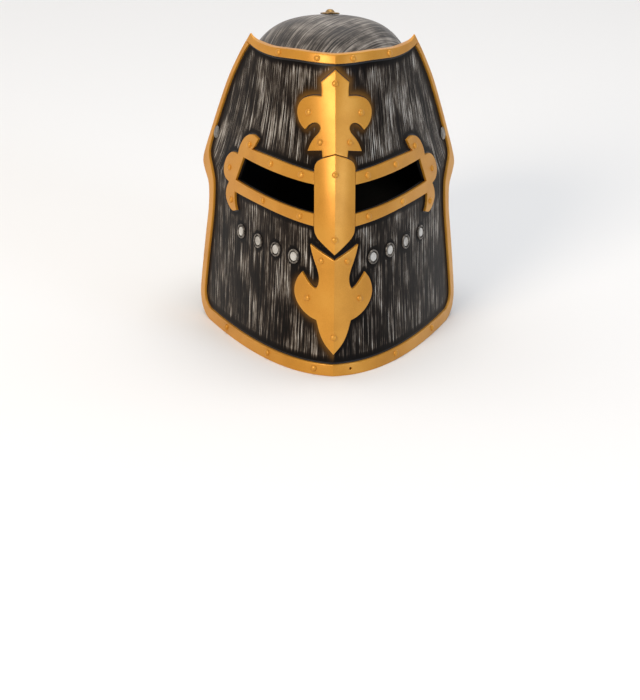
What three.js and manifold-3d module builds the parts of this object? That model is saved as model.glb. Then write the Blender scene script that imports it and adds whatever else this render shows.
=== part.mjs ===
// Costume great helm: a moulded skull cap with a large keeled face plate that lifts on two
// side pivots. Millimetres, +Z up, face towards -Y, the rim lies on z = 0.
// Left and right are the wearer's own, so left is +X.

import * as THREE from 'three';
import { mergeVertices } from 'three/addons/utils/BufferGeometryUtils.js';
import Module from 'manifold-3d';

const wasm = await Module();
wasm.setup();

// Driving dimensions
const pivotHeight = 129;
const pivotSetback = 17.95;
const wall = 2;
const clearance = 0.3;
const trimGap = 0.4;
const trimThickness = 1.3;
const trimTop = trimGap + trimThickness;
const sides = [['left', 1], ['right', -1]];

// Face plate: its ridge leans back more above the eyes than below them. The ridge and the plan
// sections give the face of the gold trims, and the plate itself lies a trim further in.
const ridge = {
  reach: 117.3,
  bendHeight: 110,
  bendLength: 24,
  leanBelow: 0.113,
  leanAbove: 0.505,
};

// Plan section of the face plate: the keel is sharpest at the eyes and fades to both ends
const sectionRows = [
  { height: 0, keel: 0.04, roundness: 0.0153 },
  { height: 114, keel: 0.38, roundness: 0.0125 },
  { height: 204, keel: 0.03, roundness: 0.0165 },
];

// Face plate edges, drawn flat: arc is the distance round the plate from the ridge
const bottomBandHeight = 7.8;
const rearEdgeRows = [
  { height: 0, arc: 143 },
  { height: 1.5, arc: 150 },
  { height: 5, arc: 156 },
  { height: 10, arc: 159.5 },
  { height: 18, arc: 160.3 },
  { height: 38, arc: 156.5 },
  { height: 60, arc: 151.8 },
  { height: 76, arc: 148.3 },
  { height: 88, arc: 148 },
  { height: 94, arc: 150 },
  { height: 99, arc: 155.5 },
  { height: 103.5, arc: 159.5 },
  { height: 108, arc: 159.5 },
  { height: 116, arc: 155 },
  { height: 129, arc: 146 },
  { height: 150, arc: 131 },
  { height: 170, arc: 115.5 },
  { height: 188, arc: 98.5 },
];
const topBandUpper = [
  [80.6, 204.9], [77, 202.8], [72, 201.8], [55, 202.2], [40, 203.9], [27, 205.1], [0, 205.4],
];
const topBandLower = [
  [87.4, 198.8], [72, 196.5], [55, 196.5], [40, 198], [27, 199.2], [0, 199.5],
];
const bindingInnerRows = [
  { height: bottomBandHeight, arc: 143 },
  { height: 10, arc: 149 },
  { height: 14.5, arc: 152.3 },
  { height: 22, arc: 152 },
  { height: 38, arc: 148.8 },
  { height: 60, arc: 144 },
  { height: 76, arc: 140.8 },
  { height: 90, arc: 139.8 },
  { height: 98, arc: 140.8 },
  { height: 105, arc: 145 },
  { height: 111, arc: 149 },
  { height: 117, arc: 148.5 },
  { height: 129, arc: 141 },
  { height: 150, arc: 126.2 },
  { height: 170, arc: 110.8 },
  { height: 188, arc: 94 },
  { height: 197.6, arc: 83.2 },
];

// Eye slits and the plates round them, drawn flat like the edges above
const slitCorners = [[15.6, 106.3], [15.6, 124.8], [92.6, 124.4], [104, 107]];
const nasalHalfWidth = 15.6;
const eyeFrameOutline = [
  [16, 132.2], [52, 133], [81, 132.2], [77.5, 135], [72.5, 140.6], [78, 141.8], [84.5, 140.6],
  [91, 137.2], [96, 132.5], [99, 128.5], [100.8, 124.4], [109.5, 123.6], [117, 119.3],
  [121.6, 113.5], [122.8, 108.5], [120.3, 104.6], [114.4, 103], [118, 97.8], [118.6, 92.2],
  [114.6, 87.8], [108.4, 85.4], [102, 87.3], [104.2, 90.4], [105.2, 94.6], [105.2, 99],
  [69.5, 99.5], [33, 98.8], [16, 98.4],
];
const nasalOutline = [
  [0, 145], [8.5, 142], [12.7, 139.6], [15.1, 136.2], [nasalHalfWidth, 131], [nasalHalfWidth, 98],
  [15, 94.4], [12.6, 91.2], [0, 82],
];
const browOutline = [
  [0, 196.2], [5, 191], [10, 188], [9.4, 183.6], [9.8, 179.4], [17, 178.6], [23.6, 176.2],
  [27.6, 172.4], [29.4, 168], [28.9, 163.4], [26.5, 159.6], [23, 157.2], [19.9, 160.2],
  [16.9, 162], [14, 162.7], [11.7, 162], [10.7, 159.9], [12.1, 156.9], [15.8, 153],
  [18.6, 149.3], [21.2, 144.4], [9.8, 146.4], [9.3, 142.2], [0, 145.4],
];
const chinOutline = [
  [0, 78.2], [18.8, 86.1], [17.4, 81.2], [15.4, 76.2], [12.7, 70.2], [11.4, 64.8], [12.2, 60],
  [14, 57.6], [16.8, 58.6], [20.4, 61.5], [25.2, 66.5], [29, 61.8], [31.2, 56.3], [31.4, 51.3],
  [28.9, 45.9], [23.6, 41], [17.4, 37.8], [12.7, 36.5], [11.6, 33.2], [9.7, 27.6], [6.1, 21.2],
  [0, 14.5],
];

// Domed rivets: height on the plate and arc from the ridge
const rivetHead = { radius: 2.2, height: 1.2 };
const ridgeRivets = [
  { name: 'brow_rivet_1', arc: 0, height: 188 },
  { name: 'nasal_rivet_1', arc: 0, height: 133 },
  { name: 'nasal_rivet_2', arc: 0, height: 92 },
  { name: 'chin_rivet_1', arc: 0, height: 26.5 },
  { name: 'bottom_rivet_1', arc: -13.5, height: 4.2 },
];
const pairedRivets = [
  { name: 'top_rivet', arc: 12.4, height: 202.4 },
  { name: 'top_rivet', arc: 46, height: 200.3 },
  { name: 'brow_rivet', arc: 19.6, height: 168.3 },
  { name: 'brow_rivet', arc: 10.9, height: 151.3 },
  { name: 'eye_rivet', arc: 26.8, height: 128.7 },
  { name: 'eye_rivet', arc: 57.5, height: 128.9 },
  { name: 'eye_rivet', arc: 84.5, height: 134.4 },
  { name: 'eye_rivet', arc: 114, height: 112.6 },
  { name: 'eye_rivet', arc: 110.6, height: 92 },
  { name: 'eye_rivet', arc: 67.2, height: 103 },
  { name: 'eye_rivet', arc: 28, height: 102.5 },
  { name: 'chin_rivet', arc: 9.8, height: 76.6 },
  { name: 'chin_rivet', arc: 20, height: 50 },
  { name: 'bottom_rivet', arc: 55.5, height: 4.4 },
  { name: 'bottom_rivet', arc: 112, height: 4.4 },
];
const pinhole = { arc: 12.3, height: 4.2, radius: 0.8 };

// Breath recesses: a raised ring round a groove with a flat stud in it
const breath = {
  height: 74.2,
  arcs: [34.2, 53, 74, 97],
  ringRadius: 4.9,
  ringHeight: 0.9,
  pocketRadius: 3.8,
  pocketDepth: 1.2,
  studRadius: 3.1,
  studHeight: 1.5,
};

// Skull cap in plan: half width, and reach behind and in front of the pivots, at each height
const skullRows = [
  { height: 0, halfWidth: 80, rear: 90, front: 82 },
  { height: 69, halfWidth: 79.5, rear: 95, front: 82 },
  { height: 129, halfWidth: 75, rear: 98, front: 82 },
  { height: 149, halfWidth: 69.4, rear: 96, front: 82 },
  { height: 167, halfWidth: 61.4, rear: 89.5, front: 80 },
  { height: 177, halfWidth: 55.6, rear: 81.5, front: 76 },
  { height: 186, halfWidth: 50, rear: 72, front: 69 },
  { height: 193.5, halfWidth: 44, rear: 60.5, front: 60 },
  { height: 200, halfWidth: 36, rear: 46, front: 47 },
  { height: 204.5, halfWidth: 25, rear: 32, front: 33 },
];
const skullTop = 207;
const skullCentre = 22;
const skullQuadrantSteps = 7;
const skullBulge = { rear: [2.3, 2.3], front: [1.4, 1.7] };
const faceOpening = { edge: 12, brow: 161, cornerRadius: 26, blockReach: 150, blockWidth: 240 };

// Gold washer and stud on the crown, canted with the dome
const crown = {
  setback: 36,
  seatHeight: 203.75,
  backwardCant: 0.3,
  washerRadius: 6.8,
  washerHeight: 1,
  washerBevel: 0.6,
  studRadius: 3.2,
  studHeight: 2.4,
};

// Pivot pins, along X through the plate and the skull
const pivot = {
  arc: 138.6,
  headRadius: 4.6,
  headHeight: 1.3,
  pinRadius: 2,
  holeRadius: 2.7,
  boreReach: 100,
  rootDepth: 0.9,
  collarRadius: 3.4,
  collarFrom: 4,
  collarTo: 5.6,
  washerRadius: 4.2,
  washerFrom: 13.6,
  washerTo: 15,
};

const steel = new THREE.MeshStandardMaterial({ color: 0x5c554e, roughness: 0.42, metalness: 0.6 });
const gold = new THREE.MeshStandardMaterial({ color: 0xd79a34, roughness: 0.38, metalness: 0.35 });
const silver = new THREE.MeshStandardMaterial({ color: 0xbdb8b0, roughness: 0.3, metalness: 0.7 });

// Surface of the face plate

function reachAt(height) {
  const above = height - ridge.bendHeight;
  const bend = Math.hypot(above, ridge.bendLength) - ridge.bendLength;
  const meanLean = (ridge.leanBelow + ridge.leanAbove) / 2;
  const leanChange = (ridge.leanAbove - ridge.leanBelow) / 2;
  return ridge.reach - meanLean * above - leanChange * bend;
}

function sectionAt(height) {
  const section = { keel: 0, roundness: 0 };
  for (const row of sectionRows) {
    let share = 1;
    for (const other of sectionRows) {
      if (other !== row) share *= (height - other.height) / (row.height - other.height);
    }
    section.keel += share * row.keel;
    section.roundness += share * row.roundness;
  }
  return section;
}

function parabolaLength(slope) {
  return slope * Math.hypot(1, slope) + Math.asinh(slope);
}

function lateralAt(arc, height) {
  const { keel, roundness } = sectionAt(height);
  let lateral = arc * 0.6;
  for (let step = 0; step < 12; step += 1) {
    const slope = keel + 2 * roundness * lateral;
    const length = (parabolaLength(slope) - parabolaLength(keel)) / (4 * roundness);
    lateral -= (length - arc) / Math.hypot(1, slope);
  }
  return lateral;
}

function onPlate(arc, height, depth = 0) {
  const { keel, roundness } = sectionAt(height);
  const hand = Math.sign(arc);
  const lateral = hand === 0 ? 0 : lateralAt(Math.abs(arc), height);
  const slope = keel + 2 * roundness * lateral;
  const back = keel * lateral + roundness * lateral * lateral;
  const out = depth - trimTop;
  const across = lateral + (slope * out) / Math.hypot(1, slope);
  const ridgeAt = pivotSetback - reachAt(height);
  if (hand === 0 || across <= 0) {
    return new THREE.Vector3(0, ridgeAt - out * Math.hypot(1, keel), height);
  }
  return new THREE.Vector3(hand * across, ridgeAt + back - out / Math.hypot(1, slope), height);
}

function plateNormal(arc, height) {
  const step = 0.5;
  const across = onPlate(arc + step, height, trimTop).sub(onPlate(arc - step, height, trimTop));
  const up = onPlate(arc, height + step, trimTop).sub(onPlate(arc, height - step, trimTop));
  return across.cross(up).normalize();
}

// Flat solids bent on to the plate: x is arc, y is height, z is depth

const arcLines = [];
for (let step = -10; step <= 10; step += 1) {
  arcLines.push(step * (6 + Math.abs(step)));
}
const heightLines = [42, 78, 98, 120, 148, 178];
const overshoot = 5;
const cutterMargin = 0.7;
const roundSteps = 10;
const rivetSteps = 8;

function splitAt(triangles, axis, value) {
  const parts = [];
  for (const triangle of triangles) {
    for (const side of [-1, 1]) {
      const polygon = [];
      for (let index = 0; index < 3; index += 1) {
        const here = triangle[index];
        const next = triangle[(index + 1) % 3];
        const hereAway = side * (here[axis] - value);
        const nextAway = side * (next[axis] - value);
        if (hereAway >= 0) polygon.push(here);
        if (hereAway * nextAway < 0) {
          const [low, high] = here[axis] < next[axis] ? [here, next] : [next, here];
          const share = (value - low[axis]) / (high[axis] - low[axis]);
          const crossing = low.map((number, at) => number + share * (high[at] - number));
          crossing[axis] = value;
          polygon.push(crossing);
        }
      }
      const onTheLine = polygon.every((corner) => corner[axis] === value);
      if (polygon.length < 3 || (onTheLine && side === 1)) continue;
      for (let index = 1; index + 1 < polygon.length; index += 1) {
        parts.push([polygon[0], polygon[index], polygon[index + 1]]);
      }
    }
  }
  return parts;
}

function trianglesOf(geometry) {
  const loose = geometry.index ? geometry.toNonIndexed() : geometry;
  const points = loose.getAttribute('position');
  const triangles = [];
  for (let first = 0; first < points.count; first += 3) {
    triangles.push([0, 1, 2].map((corner) => [
      points.getX(first + corner), points.getY(first + corner), points.getZ(first + corner),
    ]));
  }
  return triangles;
}

function welded(triangles) {
  const geometry = new THREE.BufferGeometry();
  geometry.setAttribute('position', new THREE.Float32BufferAttribute(triangles.flat(2), 3));
  const merged = mergeVertices(geometry, 1e-3);
  const kept = [];
  const index = merged.getIndex().array;
  for (let first = 0; first < index.length; first += 3) {
    const [a, b, c] = [index[first], index[first + 1], index[first + 2]];
    if (a !== b && b !== c && c !== a) kept.push(a, b, c);
  }
  merged.setIndex(kept);
  return merged;
}

function bent(triangles) {
  return welded(triangles.map((triangle) => triangle.map(
    ([arc, height, depth]) => onPlate(arc, height, depth).toArray(),
  )));
}

function linesBetween(lines, from, to) {
  return [from, ...lines.filter((line) => line > from + 0.5 && line < to - 0.5), to];
}

// A curved slab that follows the plate between two depths
function bentSlab(box, depthFrom, depthTo) {
  const arcs = linesBetween(arcLines, box.min.x, box.max.x);
  const heights = linesBetween(heightLines, box.min.y, box.max.y);
  const flat = new THREE.BoxGeometry(1, 1, 1, arcs.length - 1, heights.length - 1, 1);
  const triangles = trianglesOf(flat).map((triangle) => triangle.map(([x, y, z]) => [
    arcs[Math.round((x + 0.5) * (arcs.length - 1))],
    heights[Math.round((y + 0.5) * (heights.length - 1))],
    z < 0 ? depthFrom : depthTo,
  ]));
  // The back face is split along the same diagonals as the front face, so the wall keeps its depth
  for (let first = 0; first < triangles.length; first += 2) {
    const [a, b, d] = triangles[first];
    const [, c] = triangles[first + 1];
    if ([a, b, c, d].every(([, , depth]) => depth === depthFrom)) {
      triangles[first] = [a, b, c];
      triangles[first + 1] = [a, c, d];
    }
  }
  return solidOf(bent(triangles));
}

// A prism of the outline whose walls stand square to the plate
function bentCutter(outline, depthFrom, depthTo) {
  const flat = new THREE.ExtrudeGeometry(shapeOf(outline), {
    depth: depthTo - depthFrom + 2 * cutterMargin,
    bevelEnabled: false,
  });
  flat.translate(0, 0, depthFrom - cutterMargin);
  let triangles = trianglesOf(flat);
  for (const arc of arcLines) triangles = splitAt(triangles, 0, arc);
  for (const height of heightLines) triangles = splitAt(triangles, 1, height);
  return solidOf(bent(triangles));
}

function boxOf(points) {
  return new THREE.Box2().setFromPoints(points.map(([arc, height]) => new THREE.Vector2(arc, height)));
}

function shapeOf(points) {
  return new THREE.Shape(points.map(([arc, height]) => new THREE.Vector2(arc, height)));
}

function mirrored(points) {
  return points.map(([arc, height]) => [-arc, height]).reverse();
}

function bothHalves(points) {
  return [...points, ...mirrored(points).filter(([arc]) => arc !== 0)];
}

// Booleans

function solidOf(geometry) {
  const bare = geometry.clone();
  bare.deleteAttribute('normal');
  bare.deleteAttribute('uv');
  const merged = bare.index && !geometry.getAttribute('uv') ? bare : mergeVertices(bare, 1e-4);
  return new wasm.Manifold(new wasm.Mesh({
    numProp: 3,
    vertProperties: new Float32Array(merged.getAttribute('position').array),
    triVerts: new Uint32Array(merged.getIndex().array),
  }));
}

function geometryOf(solid) {
  const { vertProperties, triVerts } = solid.getMesh();
  const geometry = new THREE.BufferGeometry();
  geometry.setAttribute('position', new THREE.Float32BufferAttribute(vertProperties, 3));
  geometry.setIndex([...triVerts]);
  return geometry;
}

// A turned piece whose axis points along a direction from a seat
function turned(profile, segments, seat, direction) {
  const points = profile.map(([radius, along]) => new THREE.Vector2(radius, along));
  const geometry = new THREE.LatheGeometry(points, segments);
  geometry.deleteAttribute('normal');
  geometry.deleteAttribute('uv');
  const turn = new THREE.Quaternion().setFromUnitVectors(new THREE.Vector3(0, 1, 0), direction);
  geometry.applyQuaternion(turn);
  geometry.translate(seat.x, seat.y, seat.z);
  return welded(trianglesOf(geometry));
}

function cylinderProfile(radius, from, to) {
  return [[0, from], [radius, from], [radius, to], [0, to]];
}

function domeProfile(radius, from, height, steps) {
  const profile = [];
  for (let step = 0; step < steps; step += 1) {
    const angle = (step / steps) * (Math.PI / 2);
    profile.push([radius * Math.cos(angle), from + height * Math.sin(angle)]);
  }
  return [...profile, [0, from + height]];
}

const helmet = new THREE.Group();

function addPiece(name, geometry, material) {
  const piece = new THREE.Mesh(geometry, material);
  piece.name = name;
  helmet.add(piece);
}

// Skull cap

function skullBlock(inset) {
  const floor = inset > 0 ? -1 : 0;
  const topDrop = (skullTop - pivotHeight - inset) / (skullTop - pivotHeight);
  const deepestRear = Math.max(...skullRows.map((row) => row.rear));
  const rings = skullRows.map((row, index) => {
    const above = row.height - pivotHeight;
    const height = above > 0 ? pivotHeight + above * topDrop : row.height;
    const centre = skullCentre * (row.rear / deepestRear);
    const ring = [];
    for (let step = 0; step < 4 * skullQuadrantSteps; step += 1) {
      const angle = (step / skullQuadrantSteps) * (Math.PI / 2);
      const along = Math.sin(angle);
      const across = Math.cos(angle);
      const [bulgeAlong, bulgeAcross] = along >= 0 ? skullBulge.rear : skullBulge.front;
      const reach = along >= 0 ? row.rear - inset - centre : row.front - inset + centre;
      ring.push([
        Math.sign(across) * (row.halfWidth - inset) * Math.abs(across) ** (2 / bulgeAcross),
        pivotSetback + centre + Math.sign(along) * reach * Math.abs(along) ** (2 / bulgeAlong),
        index === 0 ? floor : height,
      ]);
    }
    return ring;
  });
  const count = rings[0].length;
  const triangles = [];
  for (let level = 0; level + 1 < rings.length; level += 1) {
    for (let step = 0; step < count; step += 1) {
      const next = (step + 1) % count;
      const [lower, upper] = [rings[level], rings[level + 1]];
      triangles.push([lower[step], lower[next], upper[next]], [lower[step], upper[next], upper[step]]);
    }
  }
  const base = [0, pivotSetback, floor];
  const apex = [0, pivotSetback, skullTop - inset];
  const last = rings[rings.length - 1];
  for (let step = 0; step < count; step += 1) {
    const next = (step + 1) % count;
    triangles.push([rings[0][next], rings[0][step], base], [last[step], last[next], apex]);
  }
  return welded(triangles);
}

function faceOpeningBlock() {
  const { edge, brow, cornerRadius, blockReach, blockWidth } = faceOpening;
  const rear = pivotSetback - edge;
  const front = pivotSetback - blockReach;
  const outline = new THREE.Shape();
  outline.moveTo(front, -overshoot);
  outline.lineTo(rear, -overshoot);
  outline.lineTo(rear, brow - cornerRadius);
  outline.quadraticCurveTo(rear, brow, rear - cornerRadius, brow);
  outline.lineTo(front, brow);
  const block = new THREE.ExtrudeGeometry(outline, {
    depth: blockWidth,
    bevelEnabled: false,
    curveSegments: 5,
  });
  block.applyMatrix4(new THREE.Matrix4().makeBasis(
    new THREE.Vector3(0, 1, 0), new THREE.Vector3(0, 0, 1), new THREE.Vector3(1, 0, 0),
  ));
  block.translate(-blockWidth / 2, 0, 0);
  return block;
}

const pivotCentre = new THREE.Vector3(0, pivotSetback, pivotHeight);
const pivotBores = turned(
  cylinderProfile(pivot.holeRadius, -pivot.boreReach, pivot.boreReach),
  roundSteps,
  pivotCentre,
  new THREE.Vector3(1, 0, 0),
);
const skullSolid = solidOf(skullBlock(0))
  .subtract(solidOf(skullBlock(wall)))
  .subtract(solidOf(faceOpeningBlock()))
  .subtract(solidOf(pivotBores));
addPiece('skull', geometryOf(skullSolid), steel);

const crownSeat = new THREE.Vector3(0, pivotSetback + crown.setback, crown.seatHeight);
const crownDirection = new THREE.Vector3(0, crown.backwardCant, 1).normalize();
const crownProfile = [
  [0, 0],
  [crown.washerRadius - crown.washerBevel, 0],
  [crown.washerRadius, crown.washerHeight / 2],
  [crown.washerRadius - crown.washerBevel, crown.washerHeight],
  ...domeProfile(crown.studRadius, crown.washerHeight, crown.studHeight, 3),
];
addPiece('crown_button', turned(crownProfile, roundSteps, crownSeat, crownDirection), gold);

// Face plate shell with its slits, breath recesses and pivot holes

const slabReach = 165;
const plateTop = topBandUpper[topBandUpper.length - 1][1];
const plateBox = boxOf([[-slabReach, 0], [slabReach, plateTop]]);
const rearEdge = rearEdgeRows.map(({ height, arc }) => [arc, height]);
const plateHalf = [[rearEdge[0][0], -overshoot], ...rearEdge, topBandLower[0], ...topBandUpper];
let plateSolid = bentSlab(plateBox, -wall, 0)
  .intersect(bentCutter(bothHalves(plateHalf), -wall, 0))
  .subtract(solidOf(pivotBores));
for (const [, hand] of sides) {
  const opening = hand > 0 ? slitCorners : mirrored(slitCorners);
  plateSolid = plateSolid.subtract(bentCutter(opening, -wall, 0));
}

for (const [side, hand] of sides) {
  breath.arcs.forEach((arc, index) => {
    const seat = onPlate(hand * arc, breath.height);
    const direction = plateNormal(hand * arc, breath.height);
    const ring = cylinderProfile(breath.ringRadius, -wall / 2, breath.ringHeight);
    const pocket = cylinderProfile(breath.pocketRadius, -breath.pocketDepth, breath.ringHeight + 1);
    plateSolid = plateSolid
      .add(solidOf(turned(ring, roundSteps, seat, direction)))
      .subtract(solidOf(turned(pocket, roundSteps, seat, direction)));
    const studBase = -breath.pocketDepth + clearance;
    const stud = cylinderProfile(breath.studRadius, studBase, studBase + breath.studHeight);
    addPiece(`breath_stud_${side}_${index + 1}`, turned(stud, rivetSteps, seat, direction), silver);
  });
}
addPiece('visor_shell', geometryOf(plateSolid), steel);

// Gold trims

function addTrim(name, outline) {
  const slab = bentSlab(boxOf(outline), trimGap, trimTop);
  const solid = slab.intersect(bentCutter(outline, trimGap, trimTop));
  addPiece(name, geometryOf(solid), gold);
}

addTrim('top_band', bothHalves([...topBandLower].reverse().concat(topBandUpper)));

const bindingCorner = [87.8, 198.4];
const bindingOuter = [plateHalf[0], ...rearEdge, bindingCorner];
const bindingInner = bindingInnerRows.map(({ height, arc }) => [arc, height]).reverse();
const bindingHalf = [...bindingOuter, ...bindingInner];
const bindingBox = boxOf([[-slabReach, 0], [slabReach, bindingCorner[1]]]);
const bindingSolid = bentSlab(bindingBox, trimGap, trimTop)
  .intersect(bentCutter([...bindingHalf, ...mirrored(bindingHalf)], trimGap, trimTop));
const boreBottom = -0.1;
const boreTop = 3;
const pinholeBore = turned(
  cylinderProfile(pinhole.radius, boreBottom, boreTop),
  roundSteps,
  onPlate(pinhole.arc, pinhole.height),
  plateNormal(pinhole.arc, pinhole.height),
);
let binding = bindingSolid.subtract(solidOf(pinholeBore));
for (const [, hand] of sides) {
  const notch = turned(
    cylinderProfile(pivot.headRadius + clearance, boreBottom, boreTop),
    roundSteps,
    onPlate(hand * pivot.arc, pivotHeight),
    plateNormal(hand * pivot.arc, pivotHeight),
  );
  binding = binding.subtract(solidOf(notch));
}
addPiece('edge_binding', geometryOf(binding), gold);

addTrim('brow_ornament', bothHalves(browOutline));
addTrim('nasal', bothHalves(nasalOutline));
addTrim('chin_ornament', bothHalves(chinOutline));

for (const [side, hand] of sides) {
  const [[frameInner]] = eyeFrameOutline;
  const [[, slitLow], [, slitHigh]] = slitCorners;
  const frame = [
    ...eyeFrameOutline,
    [frameInner, slitLow], slitCorners[3], slitCorners[2], [frameInner, slitHigh],
  ];
  addTrim(`eye_frame_${side}`, hand > 0 ? frame : mirrored(frame));
}

// Rivets

const headProfile = [[0, 0], ...domeProfile(rivetHead.radius, 0, rivetHead.height, 2)];

function addRivet(name, arc, height) {
  const seat = onPlate(arc, height, trimTop + clearance);
  addPiece(name, turned(headProfile, rivetSteps, seat, plateNormal(arc, height)), gold);
}

for (const { name, arc, height } of ridgeRivets) addRivet(name, arc, height);
for (const [side, hand] of sides) {
  pairedRivets.forEach(({ name, arc, height }, index) => {
    const place = pairedRivets.slice(0, index).filter((other) => other.name === name).length;
    addRivet(`${name}_${side}_${place + 1}`, hand * arc, height);
  });
}

// Pivot pins: a canted head on the plate and a straight pin through both walls

for (const [side, hand] of sides) {
  const inward = new THREE.Vector3(-hand, 0, 0);
  const outer = onPlate(hand * pivot.arc, pivotHeight);
  const direction = plateNormal(hand * pivot.arc, pivotHeight);
  const head = turned([
    [0, -pivot.rootDepth],
    [pivot.pinRadius, -pivot.rootDepth],
    [pivot.pinRadius, clearance],
    ...domeProfile(pivot.headRadius, clearance, pivot.headHeight, 3),
  ], roundSteps, outer, direction);
  const pinStart = new THREE.Vector3(outer.x, pivotSetback, pivotHeight);
  const pin = turned([
    [0, 0],
    [pivot.pinRadius, 0],
    [pivot.pinRadius, pivot.collarFrom],
    [pivot.collarRadius, pivot.collarFrom],
    [pivot.collarRadius, pivot.collarTo],
    [pivot.pinRadius, pivot.collarTo],
    [pivot.pinRadius, pivot.washerFrom],
    [pivot.washerRadius, pivot.washerFrom],
    [pivot.washerRadius, pivot.washerTo],
    [0, pivot.washerTo],
  ], roundSteps, pinStart, inward);
  addPiece(`pivot_rivet_${side}`, geometryOf(solidOf(head).add(solidOf(pin))), silver);
}

export default helmet;
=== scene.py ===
import math

import bmesh
import bpy
import numpy as np
from mathutils import Matrix, Vector


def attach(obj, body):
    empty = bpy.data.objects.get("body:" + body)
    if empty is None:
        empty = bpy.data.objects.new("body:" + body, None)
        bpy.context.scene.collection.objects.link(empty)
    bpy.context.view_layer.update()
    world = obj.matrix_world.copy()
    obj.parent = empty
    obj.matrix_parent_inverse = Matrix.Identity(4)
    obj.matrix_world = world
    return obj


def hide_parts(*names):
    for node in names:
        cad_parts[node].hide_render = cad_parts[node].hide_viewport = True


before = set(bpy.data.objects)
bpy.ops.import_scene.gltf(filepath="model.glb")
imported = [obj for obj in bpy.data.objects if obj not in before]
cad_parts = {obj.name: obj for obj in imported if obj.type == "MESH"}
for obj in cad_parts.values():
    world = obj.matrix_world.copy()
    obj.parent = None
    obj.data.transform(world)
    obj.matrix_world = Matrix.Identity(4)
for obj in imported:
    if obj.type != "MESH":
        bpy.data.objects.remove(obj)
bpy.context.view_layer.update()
mm = 0.001

# Camera. It looks down on the helmet by 17 degrees from a little to its left, through a long
# lens from over two metres away, and points below the pivots so that the helmet sits high.
pivot_setback = 17.95
pivot_height = 129
camera_elevation = math.radians(17.0)
camera_turn = math.radians(2.09)
camera_roll = math.radians(0.985)
camera_distance = 2239
focal_pixels = 3226
photo_width, photo_height = 640, 700
sensor_width = 36
pivot_pixel = (329.9, 132.29)

turn_sin, turn_cos = math.sin(camera_turn), math.cos(camera_turn)
rise_sin, rise_cos = math.sin(camera_elevation), math.cos(camera_elevation)
sight = Vector((turn_sin * rise_cos, turn_cos * rise_cos, -rise_sin))
level_right = Vector((turn_cos, -turn_sin, 0))
level_up = Vector((turn_sin * rise_sin, turn_cos * rise_sin, rise_cos))
tilted_right = level_right * math.cos(camera_roll) + level_up * math.sin(camera_roll)
tilted_up = level_up * math.cos(camera_roll) - level_right * math.sin(camera_roll)
aim = Matrix((tilted_right, tilted_up, -sight)).transposed().to_4x4()
look_down = math.atan((photo_height / 2 - pivot_pixel[1]) / focal_pixels)
look_aside = math.atan((pivot_pixel[0] - photo_width / 2) / focal_pixels)
pivot_centre = Vector((0, pivot_setback, pivot_height)) * mm
stand = Matrix.Translation(pivot_centre - sight * camera_distance * mm)
camera = bpy.data.objects.new("camera", bpy.data.cameras.new("camera"))
camera.data.sensor_fit = "HORIZONTAL"
camera.data.sensor_width = sensor_width
camera.data.lens = focal_pixels * sensor_width / photo_width
camera.data.clip_start = 0.05
camera.data.clip_end = 50
camera.matrix_world = (
    stand @ aim @ Matrix.Rotation(-look_down, 4, "X") @ Matrix.Rotation(look_aside, 4, "Y")
)
bpy.context.scene.collection.objects.link(camera)
bpy.context.scene.camera = camera


# Skull cap. The real one is a single blow-moulded shell of soft polyethylene, about two
# millimetres thick, with the front cut away behind the face plate. It is moulded in black
# and its outside is dry brushed with silver paint.
skull_rows = [
    # height, half width, reach behind the pivots, reach in front of them
    (0, 80, 90, 82), (34, 79.9, 93, 82), (69, 79.5, 95, 82), (100, 77.9, 97, 82),
    (129, 75, 98, 82), (149, 69.4, 96, 82), (167, 61.4, 89.5, 80), (177, 55.6, 81.5, 76),
    (186, 50, 72, 69), (193.5, 44, 60.5, 60), (200, 36, 46, 47), (204.5, 25, 32, 33),
    (206.5, 12, 15.5, 16), (207, 0, 0, 0),
]
skull_centre = 22
deepest_rear = 98
rear_bulge = (2.3, 2.3)
front_bulge = (1.4, 1.7)
skull_wall = 2
opening_rear = pivot_setback - 12
opening_brow = 161
opening_corner = 26
opening_depth = 150
skull_sides = 112


def through(points, t):
    """The point at t on a smooth curve through the points, which it passes at whole t."""
    first = min(int(t), len(points) - 2)
    share = t - first
    here, there = np.array(points[first], float), np.array(points[first + 1], float)
    before = np.array(points[first - 1], float) if first > 0 else 2 * here - there
    after = np.array(points[first + 2], float) if first + 2 < len(points) else 2 * there - here
    return 0.5 * (
        2 * here
        + (there - before) * share
        + (2 * before - 5 * here + 4 * there - after) * share**2
        + (3 * here - before - 3 * there + after) * share**3
    )


def skull_ring(verts, row):
    """Places a ring of verts round the skull at one row of its heights and reaches."""
    height, half_width, rear, front = row
    centre = skull_centre * rear / deepest_rear
    for number, vert in enumerate(verts):
        angle = 2 * math.pi * number / len(verts) - math.pi / 2
        across, along = math.cos(angle), math.sin(angle)
        bulge_along, bulge_across = rear_bulge if along >= 0 else front_bulge
        reach = rear - centre if along >= 0 else front + centre
        side = math.copysign(abs(across) ** (2 / bulge_across), across) * half_width
        back = math.copysign(abs(along) ** (2 / bulge_along), along) * reach
        vert.co = Vector((side, pivot_setback + centre + back, height)) * mm


def finished(name, bm, body, replaced, materials):
    """Makes a piece from a bmesh, and sets it on its body in place of its CAD nodes."""
    mesh = bpy.data.meshes.new(name)
    bm.to_mesh(mesh)
    bm.free()
    piece = bpy.data.objects.new(name, mesh)
    bpy.context.scene.collection.objects.link(piece)
    for material in materials:
        mesh.materials.append(material)
    mesh.shade_smooth()
    mesh.set_sharp_from_angle(angle=math.radians(35))
    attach(piece, body)
    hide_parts(*replaced)
    return piece


def linear(code):
    """A hex colour as Blender's linear red, green, blue and alpha."""
    shares = [int(code[at : at + 2], 16) / 255 for at in (1, 3, 5)]
    return [s / 12.92 if s < 0.04045 else ((s + 0.055) / 1.055) ** 2.4 for s in shares] + [1]


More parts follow.
